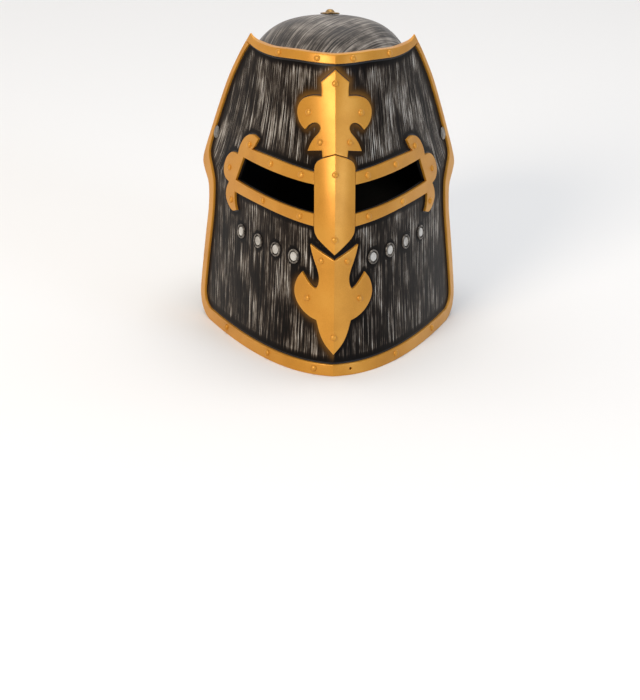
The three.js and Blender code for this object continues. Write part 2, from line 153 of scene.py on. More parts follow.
def add_node(tree, kind, sockets=None, **settings):
    """Adds one node, sets its fields, and fills or links its sockets."""
    made = tree.nodes.new(kind)
    for field, value in settings.items():
        setattr(made, field, value)
    for socket, value in (sockets or {}).items():
        if isinstance(value, bpy.types.NodeSocket):
            tree.links.new(value, made.inputs[socket])
        else:
            made.inputs[socket].default_value = value
    return made


def new_material(name):
    """Makes a material, and gives its node tree, its shader and its coordinates with it."""
    made = bpy.data.materials.new(name)
    made.use_nodes = True
    tree = made.node_tree
    return made, tree, tree.nodes["Principled BSDF"], add_node(tree, "ShaderNodeTexCoord")


def set_stops(ramp, stops):
    """Sets a colour ramp's stops from pairs of place and hex colour."""
    elements = ramp.color_ramp.elements
    while len(elements) < len(stops):
        elements.new(0.5)
    for element, (place, code) in zip(elements, stops):
        element.position = place
        element.color = linear(code)


# Black polyethylene, dry brushed with silver paint. A nearly dry wide brush leaves hairs of
# paint about a millimetre apart that run for centimetres, thicker and thinner patches of them,
# and the black plastic between. The strokes run slantwise over the crown, and down the wall.
brush_hair = 0.0009
brush_run = 0.045
paint_patch = 0.018
skull_paint, tree, shader, place = new_material("dry_brushed_polyethylene_skull")
crown_turn = add_node(
    tree, "ShaderNodeMapping", {"Vector": place.outputs["Object"], "Rotation": (0, 0, math.radians(30))}
)
crown_lines = add_node(
    tree,
    "ShaderNodeVectorMath",
    {0: crown_turn.outputs["Vector"], 1: (1 / brush_hair, 1 / brush_run, 1 / brush_run)},
    operation="MULTIPLY",
)
wall_lines = add_node(
    tree,
    "ShaderNodeVectorMath",
    {0: place.outputs["UV"], 1: (1 / brush_hair, 1 / brush_run, 1)},
    operation="MULTIPLY",
)
crown_strokes = add_node(
    tree,
    "ShaderNodeTexNoise",
    {"Vector": crown_lines.outputs["Vector"], "Scale": 1, "Detail": 3, "Roughness": 0.6},
)
wall_strokes = add_node(
    tree,
    "ShaderNodeTexNoise",
    {"Vector": wall_lines.outputs["Vector"], "Scale": 1, "Detail": 3, "Roughness": 0.6},
)
spot_parts = add_node(tree, "ShaderNodeSeparateXYZ", {"Vector": place.outputs["Object"]})
on_crown = add_node(
    tree,
    "ShaderNodeMapRange",
    {"Value": spot_parts.outputs["Z"], "From Min": 0.15, "From Max": 0.185},
)
strokes = add_node(
    tree,
    "ShaderNodeMix",
    {
        "Factor": on_crown.outputs["Result"],
        2: wall_strokes.outputs["Fac"],
        3: crown_strokes.outputs["Fac"],
    },
)
patches = add_node(
    tree,
    "ShaderNodeTexNoise",
    {"Vector": place.outputs["Object"], "Scale": 1 / paint_patch, "Detail": 4, "Roughness": 0.6},
)
paint = add_node(
    tree,
    "ShaderNodeMath",
    {0: patches.outputs["Fac"], 1: 0.55, 2: strokes.outputs[0]},
    operation="MULTIPLY_ADD",
)
level = add_node(
    tree, "ShaderNodeMapRange", {"Value": paint.outputs[0], "From Min": 0.58, "From Max": 1.02}
)
paint_colour = add_node(tree, "ShaderNodeValToRGB", {"Fac": level.outputs["Result"]})
set_stops(
    paint_colour,
    [(0.05, "#1D1916"), (0.35, "#463F38"), (0.6, "#756D64"), (0.95, "#A9A197")],
)
metal = add_node(
    tree, "ShaderNodeMapRange", {"Value": level.outputs["Result"], "To Min": 0.05, "To Max": 0.45}
)
dull = add_node(
    tree, "ShaderNodeMapRange", {"Value": level.outputs["Result"], "To Min": 0.4, "To Max": 0.5}
)
ridges = add_node(
    tree, "ShaderNodeBump", {"Height": strokes.outputs[0], "Strength": 0.15, "Distance": 0.0002}
)
tree.links.new(paint_colour.outputs["Color"], shader.inputs["Base Color"])
tree.links.new(metal.outputs["Result"], shader.inputs["Metallic"])
tree.links.new(dull.outputs["Result"], shader.inputs["Roughness"])
tree.links.new(ridges.outputs["Normal"], shader.inputs["Normal"])
shader.inputs["IOR"].default_value = 1.5
shader.inputs["Specular IOR Level"].default_value = 0.15

# Bare inside of the moulding: plain black polyethylene with a dull waxy skin. The same black also makes
# the painted shadow strips beside the gold pieces.
black_plastic_and_shadow, tree, shader, place = new_material("black_polyethylene_and_painted_shadow")
skin_grain = 0.0012
grain = add_node(
    tree,
    "ShaderNodeTexNoise",
    {"Vector": place.outputs["Object"], "Scale": 1 / skin_grain, "Detail": 2},
)
skin_colour = add_node(tree, "ShaderNodeValToRGB", {"Fac": grain.outputs["Fac"]})
set_stops(skin_colour, [(0.3, "#0C0B0A"), (0.7, "#161413")])
skin_bump = add_node(
    tree, "ShaderNodeBump", {"Height": grain.outputs["Fac"], "Strength": 0.2, "Distance": 0.0002}
)
tree.links.new(skin_colour.outputs["Color"], shader.inputs["Base Color"])
tree.links.new(skin_bump.outputs["Normal"], shader.inputs["Normal"])
shader.inputs["Roughness"].default_value = 0.5
shader.inputs["IOR"].default_value = 1.51
shader.inputs["Specular IOR Level"].default_value = 0.35

bm = bmesh.new()
ring = bmesh.ops.create_circle(bm, segments=skull_sides, radius=0.08)["verts"]
skull_ring(ring, skull_rows[0])
levels_per_row = 4
for step in range(1, (len(skull_rows) - 1) * levels_per_row):
    edges = [bm.edges.get((a, b)) for a, b in zip(ring, ring[1:] + ring[:1])]
    grown = bmesh.ops.extrude_edge_only(bm, edges=edges)["geom"]
    fresh = {item for item in grown if isinstance(item, bmesh.types.BMVert)}
    ring = [
        next(edge.other_vert(vert) for edge in vert.link_edges if edge.other_vert(vert) in fresh)
        for vert in ring
    ]
    skull_ring(ring, through(skull_rows, step / levels_per_row))
crown = Vector((0, pivot_setback, skull_rows[-1][0])) * mm
bmesh.ops.pointmerge(bm, verts=ring, merge_co=crown)
bmesh.ops.recalc_face_normals(bm, faces=bm.faces[:])

# The front is cut out in a straight line down beside the cheeks and across above the brow,
# with a round corner between the two cuts.
corner_start = opening_brow - opening_corner
cheek_cut = [(opening_rear, -5), (opening_rear, corner_start)]
for share in (0.2, 0.4, 0.6, 0.8, 1):
    cheek_cut.append(
        (opening_rear - opening_corner * share**2, corner_start + opening_corner * (2 - share) * share)
    )
cheek_cut.append((opening_rear - opening_depth, opening_brow))
cuts = []
for (y, z), (next_y, next_z) in zip(cheek_cut, cheek_cut[1:]):
    outward = Vector((0, next_z - z, y - next_y)).normalized()
    cuts.append((Vector((0, y, z)) * mm, outward))
    bmesh.ops.bisect_plane(
        bm, geom=bm.verts[:] + bm.edges[:] + bm.faces[:], plane_co=cuts[-1][0], plane_no=outward
    )
cut_out = []
for face in bm.faces:
    middle = face.calc_center_median()
    if all((middle - spot).dot(outward) < 0 for spot, outward in cuts):
        cut_out.append(face)
bmesh.ops.delete(bm, geom=cut_out, context="FACES")

around = bm.loops.layers.uv.new("brush")
wall_radius = 85 * mm
for face in bm.faces:
    turns = []
    for loop in face.loops:
        from_centre = loop.vert.co - Vector((0, pivot_setback + skull_centre, 0)) * mm
        turns.append((math.atan2(from_centre.y, from_centre.x) + math.pi / 2) % (2 * math.pi))
    for loop, turned in zip(face.loops, turns):
        if max(turns) - min(turns) > math.pi and turned < math.pi:
            turned += 2 * math.pi
        loop[around].uv = (turned * wall_radius, loop.vert.co.z)
skull_cap = finished(
    "skull_cap", bm, "skull", ["skull"], [skull_paint, black_plastic_and_shadow]
)
wall = skull_cap.modifiers.new("wall", "SOLIDIFY")
wall.thickness = skull_wall * mm
wall.offset = -1
wall.material_offset = 1


# Crown button. A pressed washer with a round-headed stud through it, in bronze-gold paint. It
# sits a little behind the top of the dome and leans back with it.
def turned_piece(bm, profile, sides, seat, direction):
    """Turns a closed profile of (radius, distance along) round an axis that starts at a seat."""
    chain = [bm.verts.new((radius * mm, 0, along * mm)) for radius, along in profile]
    geometry = chain + [bm.edges.new(pair) for pair in zip(chain, chain[1:])]
    bmesh.ops.spin(
        bm,
        geom=geometry,
        cent=(0, 0, 0),
        axis=(0, 0, 1),
        angle=2 * math.pi,
        steps=sides,
        use_merge=True,
    )
    verts = set(chain)
    frontier = list(chain)
    while frontier:
        for edge in frontier.pop().link_edges:
            for vert in edge.verts:
                if vert not in verts:
                    verts.add(vert)
                    frontier.append(vert)
    place_there = Matrix.Translation(seat) @ direction.to_track_quat("Z", "Y").to_matrix().to_4x4()
    bmesh.ops.transform(bm, matrix=place_there, verts=list(verts))


def close_up(bm):
    """Merges doubles and turns every face outwards."""
    bmesh.ops.remove_doubles(bm, verts=bm.verts[:], dist=0.00001)
    bmesh.ops.recalc_face_normals(bm, faces=bm.faces[:])


def flake_paint(name, stops, metal, mottle_size, grit_size, dull_from, dull_to):
    """Satin metal-flake paint: a flake lacquer that is thicker and thinner over its mottle."""
    paint, tree, shader, place = new_material(name)
    mottle = add_node(
        tree,
        "ShaderNodeTexNoise",
        {"Vector": place.outputs["Object"], "Scale": 1 / mottle_size, "Detail": 3},
    )
    grit = add_node(
        tree,
        "ShaderNodeTexNoise",
        {"Vector": place.outputs["Object"], "Scale": 1 / grit_size, "Detail": 2},
    )
    coat = add_node(
        tree,
        "ShaderNodeMath",
        {0: grit.outputs["Fac"], 1: 0.35, 2: mottle.outputs["Fac"]},
        operation="MULTIPLY_ADD",
    )
    thick = add_node(
        tree, "ShaderNodeMapRange", {"Value": coat.outputs[0], "From Min": 0.45, "From Max": 0.9}
    )
    colour = add_node(tree, "ShaderNodeValToRGB", {"Fac": thick.outputs["Result"]})
    set_stops(colour, stops)
    dull = add_node(
        tree,
        "ShaderNodeMapRange",
        {"Value": thick.outputs["Result"], "To Min": dull_from, "To Max": dull_to},
    )
    bump = add_node(
        tree, "ShaderNodeBump", {"Height": grit.outputs["Fac"], "Strength": 0.1, "Distance": 0.0002}
    )
    tree.links.new(colour.outputs["Color"], shader.inputs["Base Color"])
    tree.links.new(dull.outputs["Result"], shader.inputs["Roughness"])
    tree.links.new(bump.outputs["Normal"], shader.inputs["Normal"])
    shader.inputs["Metallic"].default_value = metal
    shader.inputs["IOR"].default_value = 1.5
    return paint


# Bronze-gold paint, thin enough on the crown button for the black plastic to brown it.
crown_paint = flake_paint(
    "bronze_painted_polyethylene",
    [(0.2, "#6B5330"), (0.6, "#94733F"), (0.9, "#B08A4C")],
    metal=0.6,
    mottle_size=0.006,
    grit_size=0.0009,
    dull_from=0.4,
    dull_to=0.3,
)

crown_seat = Vector((0, pivot_setback + 36, 203.75)) * mm
crown_lean = Vector((0, 0.3, 1)).normalized()
bm = bmesh.new()
turned_piece(
    bm,
    [
        (0, 0), (6.5, 0), (6.8, 0.3), (6.7, 0.7), (6.2, 1), (4.4, 1.15), (3.5, 1.25), (3.1, 1.6),
        (2.8, 2.2), (2.3, 2.8), (1.6, 3.2), (0.8, 3.38), (0, 3.4),
    ],
    40,
    crown_seat,
    crown_lean,
)
close_up(bm)
finished("crown_stud", bm, "skull", ["crown_button"], [crown_paint])


# Face plate. One blow-moulded polyethylene shell like the skull, bent round a keel that is
# sharpest between the eyes. It hangs from the two side pivots, and its eye slits and breath
# recesses are moulded in.
plate_wall = 2
bottom_band_height = 7.8
gold_lift = 1.7
crease_rise = 0.8
crease_reach = 8
slit = [(15.6, 106.3), (104, 107), (92.6, 124.4), (15.6, 124.8)]
breath_height = 74.2
breath_arcs = (34.2, 53, 74, 97)
breath_ring_radius = 5
rear_edge = [
    # arc from the ridge, height
    (143, 0), (150, 1.5), (156, 5), (159.5, 10), (160.3, 18), (156.5, 38), (151.8, 60),
    (148.3, 76), (148, 88), (150, 94), (155.5, 99), (159.5, 103.5), (159.5, 108), (155, 116),
    (146, 129), (131, 150), (115.5, 170), (98.5, 188), (87.4, 198.8),
]
band_upper = [
    (80.6, 204.9), (77, 202.8), (72, 201.8), (55, 202.2), (40, 203.9), (27, 205.1), (13, 205.4),
    (0, 205.4),
]
band_lower = [(87.4, 198.8), (72, 196.5), (55, 196.5), (40, 198), (27, 199.2), (13, 199.5), (0, 199.5)]
thin_reach = 6
thin_share = 0.7
ridge_reach = 117.3
ridge_bend_height = 110
ridge_bend_length = 24
ridge_mean_lean = 0.309
ridge_lean_change = 0.196
section_rows = ((0, 0.04, 0.0153), (114, 0.38, 0.0125), (204, 0.03, 0.0165))


def plate_reach(height):
    """How far the ridge stands in front of the pivots, which leans back more above the eyes."""
    above = height - ridge_bend_height
    bend = np.hypot(above, ridge_bend_length) - ridge_bend_length
    return ridge_reach - ridge_mean_lean * above - ridge_lean_change * bend


def plate_section(height):
    """Keel and roundness of the plan section, on a smooth curve through three heights."""
    keel, roundness = 0, 0
    for own, own_keel, own_roundness in section_rows:
        share = 1
        for other, _, _ in section_rows:
            if other != own:
                share = share * (height - other) / (own - other)
        keel = keel + share * own_keel
        roundness = roundness + share * own_roundness
    return keel, roundness


def on_plate(arc, height, depth):
    """Bends flat places in millimetres on to the plate and gives their x, y and z in metres."""
    arc, height, depth = (np.asarray(value, float) for value in (arc, height, depth))
    keel, roundness = plate_section(height)
    start = keel * np.hypot(1, keel) + np.arcsinh(keel)
    aside = np.abs(arc) * 0.6
    for _ in range(12):
        slope = keel + 2 * roundness * aside
        length = (slope * np.hypot(1, slope) + np.arcsinh(slope) - start) / (4 * roundness)
        aside = aside - (length - np.abs(arc)) / np.hypot(1, slope)
    fold = crease_rise * np.exp(-aside / crease_reach)
    slope = keel + 2 * roundness * aside + fold / crease_reach
    out = (depth - gold_lift) / np.hypot(1, slope)
    across = aside + slope * out
    on_ridge = (np.abs(arc) < 1e-6) | (across < 0)
    away = np.where(on_ridge, (depth - gold_lift) * np.hypot(1, slope), out)
    across = np.where(on_ridge, 0, np.sign(arc) * across)
    round_back = keel * aside + roundness * aside**2 - fold
    back = pivot_setback - plate_reach(height) + round_back - away
    return np.stack([across, back, height], axis=-1) * mm


def plate_normal(arc, height):
    """The direction straight out of the plate at a place on it."""
    step = 0.5
    along = on_plate(arc + step, height, gold_lift) - on_plate(arc - step, height, gold_lift)
    up = on_plate(arc, height + step, gold_lift) - on_plate(arc, height - step, gold_lift)
    return Vector(np.cross(along, up)).normalized()


def drawn(strokes, step=1.5):
    """Points along strokes: each is a smooth curve through its points, and they meet at corners."""
    line = [strokes[0][0]]
    for stroke in strokes:
        for first in range(len(stroke) - 1):
            length = math.dist(stroke[first], stroke[first + 1])
            parts = max(1, round(length / step)) if len(stroke) > 2 else 1
            for part in range(1, parts + 1):
                line.append(tuple(float(value) for value in through(stroke, first + part / parts)))
    return line


def mirrored(line):
    """The same line on the other side of the ridge, drawn backwards."""
    return [(-arc, height) for arc, height in reversed(line)]


def flat_sheet(bm, outline, holes, depth_from, depth_to, edge_radius):
    """Draws a sheet flat: x is the distance round the plate, y the height, z the depth."""
    edges = []
    for line in [outline, *holes]:
        corners = [bm.verts.new((x, y, depth_from)) for x, y in line]
        edges += [bm.edges.new(pair) for pair in zip(corners, corners[1:] + corners[:1])]
    filled = bmesh.ops.triangle_fill(bm, use_beauty=True, edges=edges, normal=(0, 0, 1))["geom"]
    faces = [item for item in filled if isinstance(item, bmesh.types.BMFace)]
    grown = bmesh.ops.extrude_face_region(bm, geom=faces)["geom"]
    top = [item for item in grown if isinstance(item, bmesh.types.BMVert)]
    bmesh.ops.translate(bm, verts=top, vec=(0, 0, depth_to - depth_from))
    bmesh.ops.recalc_face_normals(bm, faces=bm.faces[:])
    if edge_radius:
        rim = [
            edge
            for edge in {edge for vert in top for edge in vert.link_edges}
            if all(abs(vert.co.z - depth_to) < 1e-6 for vert in edge.verts)
            and len(edge.link_faces) == 2
            and edge.calc_face_angle(0) > 1
        ]
        bmesh.ops.bevel(
            bm,
            geom=rim,
            offset=edge_radius,
            offset_type="OFFSET",
            segments=2,
            profile=0.5,
            affect="EDGES",
            clamp_overlap=True,
            material=-1,
        )


def bend(bm, arc_step, height_step, swell=0):
    """Cuts a flat sheet along even lines and bends it on to the plate. It thins at the plate's
    two top tips, and each half of it can swell outwards."""
    reach = max(abs(vert.co.x) for vert in bm.verts)
    low = min(vert.co.y for vert in bm.verts)
    high = max(vert.co.y for vert in bm.verts)
    last = int(reach / arc_step)
    lines = [((step * arc_step, 0, 0), (1, 0, 0)) for step in range(-last, last + 1)]
    first, last = int(low / height_step) + 1, int(high / height_step)
    lines += [((0, step * height_step, 0), (0, 1, 0)) for step in range(first, last + 1)]
    for spot, facing in lines:
        bmesh.ops.bisect_plane(
            bm,
            geom=bm.verts[:] + bm.edges[:] + bm.faces[:],
            dist=0.0005,
            plane_co=spot,
            plane_no=facing,
        )
    slanted = [
        edge
        for edge in bm.edges
        if len(edge.link_faces) == 2
        and edge.calc_face_angle(1) < 0.001
        and all(abs(edge.verts[0].co[axis] - edge.verts[1].co[axis]) > 0.001 for axis in (0, 1))
    ]
    bmesh.ops.dissolve_edges(bm, edges=slanted, use_verts=False)
    flat = np.array([vert.co for vert in bm.verts])
    along_plate = bm.loops.layers.uv.new("brush")
    for face in bm.faces:
        for loop in face.loops:
            loop[along_plate].uv = loop.vert.co.xy * mm
    tip_arc, tip_height = band_upper[0]
    from_tip = np.hypot(np.abs(flat[:, 0]) - tip_arc, flat[:, 1] - tip_height)
    thinned = 1 - thin_share * np.exp(-((from_tip / thin_reach) ** 2))
    depth = gold_lift - (gold_lift - flat[:, 2]) * thinned
    swollen = swell * np.sin(np.pi * np.clip(np.abs(flat[:, 0]) / reach, 0, 1)) * (flat[:, 2] > 1)
    for vert, place in zip(bm.verts, on_plate(flat[:, 0], flat[:, 1], depth + swollen)):
        vert.co = place
    return flat


def even_normals(piece):
    """Large faces set the shading, so that a rounded edge shows as a narrow crisp highlight."""
    weighted = piece.modifiers.new("even_normals", "WEIGHTED_NORMAL")
    weighted.keep_sharp = True
    weighted.weight = 100


def crease_ridge(piece):
    """Keeps the fold along the ridge sharp."""
    mesh = piece.data
    for edge in mesh.edges:
        if all(abs(mesh.vertices[number].co.x) < 1e-6 for number in edge.vertices):
            edge.use_edge_sharp = True


def circle_line(arc, height, radius, count=24):
    """A circle drawn flat on the plate."""
    turns = [2 * math.pi * number / count for number in range(count)]
    return [(arc + radius * math.cos(turn), height + radius * math.sin(turn)) for turn in turns]


# Outlines of the gold pieces, which the paint on the plate also needs: painted shade darkens the
# plastic beside them, and their gold paint drifts on to it.
brow_half = drawn([
    [(0, 196.2), (10, 188)],
    [(10, 188), (9.6, 183.6), (9.8, 179.4)],
    [
        (9.8, 179.4), (17, 178.6), (23.6, 176.2), (27.6, 172.4), (29.4, 168), (28.9, 163.4),
        (26.5, 159.6), (23, 157.2),
    ],
    [
        (23, 157.2), (19.9, 160.2), (16.9, 162), (14, 162.7), (11.7, 162), (10.7, 159.9),
        (12.1, 156.9), (15.8, 153), (18.6, 149.3), (21.2, 144.4),
    ],
    [(21.2, 144.4), (9.8, 146.4)],
    [(9.8, 146.4), (9.3, 142.2)],
    [(9.3, 142.2), (0, 145.4)],
])
nasal_half = drawn([
    [(0, 145), (8.5, 142)],
    [(8.5, 142), (12.7, 139.6), (15.1, 136.2), (15.6, 131)],
    [(15.6, 131), (15.6, 98)],
    [(15.6, 98), (15, 94.4), (12.6, 91.2)],
    [(12.6, 91.2), (0, 82)],
])
chin_half = drawn([
    [(0, 78.2), (18.8, 86.1)],
    [
        (18.8, 86.1), (17.4, 81.2), (15.4, 76.2), (12.7, 70.2), (11.4, 64.8), (12.2, 60),
        (14, 57.6), (16.8, 58.6), (20.4, 61.5), (25.2, 66.5),
    ],
    [
        (25.2, 66.5), (29, 61.8), (31.2, 56.3), (31.4, 51.3), (28.9, 45.9), (23.6, 41),
        (17.4, 37.8), (12.7, 36.5),
    ],
    [(12.7, 36.5), (11.6, 33.2), (9.7, 27.6), (6.1, 21.2), (0, 14.5)],
])
frame_line = drawn([
    [(16, 132.2), (52, 133), (81, 132.2)],
    [(81, 132.2), (77.5, 135), (72.5, 140.6)],
    [
        (72.5, 140.6), (78, 141.8), (84.5, 140.6), (91, 137.2), (96, 132.5), (99, 128.5),
        (100.8, 124.4),
    ],
    [
        (100.8, 124.4), (109.5, 123.6), (117, 119.3), (121.6, 113.5), (122.8, 108.5),
        (120.3, 104.6), (114.4, 103),
    ],
    [(114.4, 103), (118, 97.8), (118.6, 92.2), (114.6, 87.8), (108.4, 85.4), (102, 87.3)],
    [(102, 87.3), (104.2, 90.4), (105.2, 94.6), (105.2, 99)],
    [(105.2, 99), (69.5, 99.5), (33, 98.8), (16, 98.4)],
])
frame_outline = frame_line + [(16, slit[0][1]), slit[1], slit[2], (16, slit[3][1])]
brow_outline = brow_half + mirrored(brow_half)[1:-1]
nasal_outline = nasal_half + mirrored(nasal_half)[1:-1]
chin_outline = chin_half + mirrored(chin_half)[1:-1]
binding_inner = [
    (143, bottom_band_height), (149, 10), (152.3, 14.5), (152, 22), (148.8, 38), (144, 60),
    (140.8, 76), (139.8, 90), (140.8, 98), (145, 105), (149, 111), (148.5, 117), (141, 129),
    (126.2, 150), (110.8, 170), (94, 188), (83.2, 197.6),
]
rear_line = drawn([rear_edge], 2.5)
upper_line = drawn([band_upper])
lower_line = drawn([band_lower], 3)
inner_line = drawn([binding_inner], 2.5)


def distance_to(flat, line, closed=True):
    """The distance in millimetres from each flat place to a line."""
    best = np.full(len(flat), 1e9)
    ends = line[1:] + line[:1] if closed else line[1:]
    for (ax, ay), (bx, by) in zip(line, ends):
        run = np.array([bx - ax, by - ay])
        length = max(float(run @ run), 1e-9)
        from_start = flat[:, :2] - (ax, ay)
        share = np.clip(from_start @ run / length, 0, 1)[:, None]
        best = np.minimum(best, np.linalg.norm(from_start - share * run, axis=1))
    return best


# The same dry-brushed polyethylene as the skull. Here the strokes run up the plate and draw
# together towards its top: long hairs of paint, broken by short ones. Painted shade darkens it
# beside the raised gold, the bands and the breath rings, the plate is darker below the eyes,
# and round the brow and chin pieces a faint gold overspray lies on it.
short_hair = 0.0005
short_run = 0.009
plate_paint, tree, shader, place = new_material("dry_brushed_polyethylene_plate")
long_lines = add_node(
    tree,
    "ShaderNodeVectorMath",
    {0: place.outputs["UV"], 1: (1 / brush_hair, 1 / brush_run, 1)},
    operation="MULTIPLY",
)
short_lines = add_node(
    tree,
    "ShaderNodeVectorMath",
    {0: place.outputs["UV"], 1: (1 / short_hair, 1 / short_run, 1)},
    operation="MULTIPLY",
)
patch_lines = add_node(
    tree,
    "ShaderNodeVectorMath",
    {0: place.outputs["UV"], 1: (1 / paint_patch, 0.6 / paint_patch, 1)},
    operation="MULTIPLY",
)
long_hairs = add_node(
    tree,
    "ShaderNodeTexNoise",
    {"Vector": long_lines.outputs["Vector"], "Scale": 1, "Detail": 2, "Roughness": 0.6},
)
short_hairs = add_node(
    tree,
    "ShaderNodeTexNoise",
    {"Vector": short_lines.outputs["Vector"], "Scale": 1, "Detail": 2, "Roughness": 0.6},
)
patch = add_node(
    tree,
    "ShaderNodeTexNoise",
    {"Vector": patch_lines.outputs["Vector"], "Scale": 1, "Detail": 4, "Roughness": 0.6},
)
hairs = add_node(
    tree,
    "ShaderNodeMath",
    {0: short_hairs.outputs["Fac"], 1: 0.3, 2: long_hairs.outputs["Fac"]},
    operation="MULTIPLY_ADD",
)
thickness = add_node(
    tree,
    "ShaderNodeMath",
    {0: patch.outputs["Fac"], 1: 0.6, 2: hairs.outputs[0]},
    operation="MULTIPLY_ADD",
)
# Painted shade: this attribute darkens the brushed paint in a line beside the raised gold pieces, bands
# and breath rings, and also below the eyes.
shade_and_darkening = add_node(tree, "ShaderNodeAttribute", attribute_name="shade_and_darkening")
painted_shade = add_node(
    tree,
    "ShaderNodeMath",
    {0: shade_and_darkening.outputs["Fac"], 1: -0.45, 2: thickness.outputs[0]},
    operation="MULTIPLY_ADD",
)
level = add_node(
    tree,
    "ShaderNodeMapRange",
    {"Value": painted_shade.outputs[0], "From Min": 0.78, "From Max": 1.2},
)
paint_colour = add_node(tree, "ShaderNodeValToRGB", {"Fac": level.outputs["Result"]})
set_stops(
    paint_colour,
    [(0.1, "#100D0B"), (0.4, "#261F1A"), (0.56, "#51483F"), (0.72, "#8F867B"), (0.95, "#D9D4CC")],
)
overspray = add_node(tree, "ShaderNodeAttribute", attribute_name="overspray")
haze = add_node(
    tree,
    "ShaderNodeMix",
    {
        "Factor": overspray.outputs["Fac"],
        6: paint_colour.outputs["Color"],
        7: linear("#95692F"),
    },
    data_type="RGBA",
)
metal = add_node(
    tree, "ShaderNodeMapRange", {"Value": level.outputs["Result"], "To Min": 0, "To Max": 0.5}
)
dull = add_node(
    tree,
    "ShaderNodeMapRange",
    {"Value": level.outputs["Result"], "To Min": 0.36, "To Max": 0.46},
)
ridges = add_node(
    tree, "ShaderNodeBump", {"Height": hairs.outputs[0], "Strength": 0.15, "Distance": 0.0002}
)
tree.links.new(haze.outputs[2], shader.inputs["Base Color"])
tree.links.new(metal.outputs["Result"], shader.inputs["Metallic"])
tree.links.new(dull.outputs["Result"], shader.inputs["Roughness"])
tree.links.new(ridges.outputs["Normal"], shader.inputs["Normal"])
shader.inputs["IOR"].default_value = 1.5
shader.inputs["Specular IOR Level"].default_value = 0.05

# Satin gold paint on polyethylene. Fine metal flake in a yellow lacquer gives a broad soft
# highlight, and the paint lies browner where it is thin.
gold_paint = flake_paint(
    "gold_painted_polyethylene",
    [(0.1, "#BD8022"), (0.5, "#C7892A"), (0.9, "#CC9032")],
    metal=0.4,
    mottle_size=0.025,
    grit_size=0.0008,
    dull_from=0.42,
    dull_to=0.36,
)

plate_half = rear_line + upper_line
plate_line = plate_half + mirrored(plate_half)[1:]
breath_hole_radius = 4.3
plate_holes = [slit, mirrored(slit)]
for arc in breath_arcs:
    plate_holes += [
        circle_line(arc, breath_height, breath_hole_radius),
        circle_line(-arc, breath_height, breath_hole_radius),
    ]
bm = bmesh.new()
flat_sheet(bm, plate_line, plate_holes, -plate_wall, 0, 0)
flat = bend(bm, 1.7, 2.2)
bm.verts.index_update()
sides_of_rim = (plate_half, mirrored(plate_half))
gold_rim = np.min([distance_to(flat, line, False) for line in sides_of_rim], axis=0)
for face in bm.faces:
    inside = all(abs(flat[vert.index][2] + plate_wall) < 0.01 for vert in face.verts)
    depths = {round(float(flat[vert.index][2]), 2) for vert in face.verts}
    wall_face = len(depths) > 1
    on_rim = all(gold_rim[vert.index] < 0.05 for vert in face.verts)
    if wall_face and on_rim:
        face.material_index = 2
    elif wall_face or inside:
        face.material_index = 1
strokes_meet = 0.6
strokes_straight_to = 105
strokes_meet_over = 100
along_plate = bm.loops.layers.uv["brush"]
for face in bm.faces:
    for loop in face.loops:
        arc, height, _ = flat[loop.vert.index]
        draw_in = 1 + strokes_meet * max(0, height - strokes_straight_to) / strokes_meet_over
        loop[along_plate].uv = (arc * draw_in * mm, height * mm)
face_plate = finished(
    "face_plate",
    bm,
    "visor",
    ["visor_shell"],
    [plate_paint, black_plastic_and_shadow, gold_paint],
)
crease_ridge(face_plate)
gold_lines = [brow_outline, nasal_outline, chin_outline, frame_outline, mirrored(frame_outline)]
to_gold = np.min([distance_to(flat, line) for line in gold_lines], axis=0)
band_edges = [
    inner_line,
    mirrored(inner_line),
    [(-143, bottom_band_height), (143, bottom_band_height)],
    lower_line,
    mirrored(lower_line),
]
to_band = np.min([distance_to(flat, line, False) for line in band_edges], axis=0)
to_ring = np.min(
    [
        np.abs(np.hypot(flat[:, 0] - side * arc, flat[:, 1] - breath_height) - breath_ring_radius)
        for arc in breath_arcs
        for side in (1, -1)
    ],
    axis=0,
)
# Painted shade: dark lines beside the gold pieces, the bands and the breath rings, where their raised
# edges cast shade.
shade_reach = ((to_gold, 2.4), (to_band, 3.4), (to_ring, 1.3))
beside = np.maximum.reduce([np.exp(-((away / reach) ** 2)) for away, reach in shade_reach])
arc, height = flat[:, 0], flat[:, 1]
# The plate is also darker towards the bottom, below the eyes.
low_darkening = 0.1
darkening_below = 108
darkening_over = 45
beside = np.maximum(beside, low_darkening * np.clip((darkening_below - height) / darkening_over, 0, 1))
near_brow, near_nasal, near_chin = (
    np.exp(-((distance_to(flat, line) / drift) ** 2))
    for line, drift in ((brow_outline, 3.2), (nasal_outline, 2.2), (chin_outline, 3))
)
above_foot = np.clip((height - 150) / 12, 0.2, 1)
spray = np.maximum.reduce(
    [
        0.45 * near_brow * above_foot,
        0.45 * near_nasal * (arc > 0) * np.clip((height - 124) / 10, 0, 1),
        0.4 * near_chin * (arc < 0) * np.clip((66 - height) / 10, 0, 1),
    ]
)
mesh = face_plate.data
for name, values in (("shade_and_darkening", beside), ("overspray", spray)):
    mesh.attributes.new(name, "FLOAT", "POINT").data.foreach_set("value", values.astype(np.float32))


# Breath recesses and studs. Eight shallow cups with a raised ring are moulded into the plate
# below the eyes, and a flat silver-painted stud closes each one.
silver_paint = flake_paint(
    "silver_painted_polyethylene",
    [(0.1, "#9C978E"), (0.5, "#B9B5AD"), (0.9, "#CBC8C1")],
    metal=0.4,
    mottle_size=0.008,
    grit_size=0.0008,
    dull_from=0.4,
    dull_to=0.34,
)

# The rings carry the same dry-brushed silver as the plate, rubbed off their inner walls.
ring_paint = flake_paint(
    "brushed_polyethylene_rings",
    [(0.1, "#2A2520"), (0.5, "#5F5850"), (0.9, "#938C82")],
    metal=0.3,
    mottle_size=0.0025,
    grit_size=0.0008,
    dull_from=0.4,
    dull_to=0.46,
)

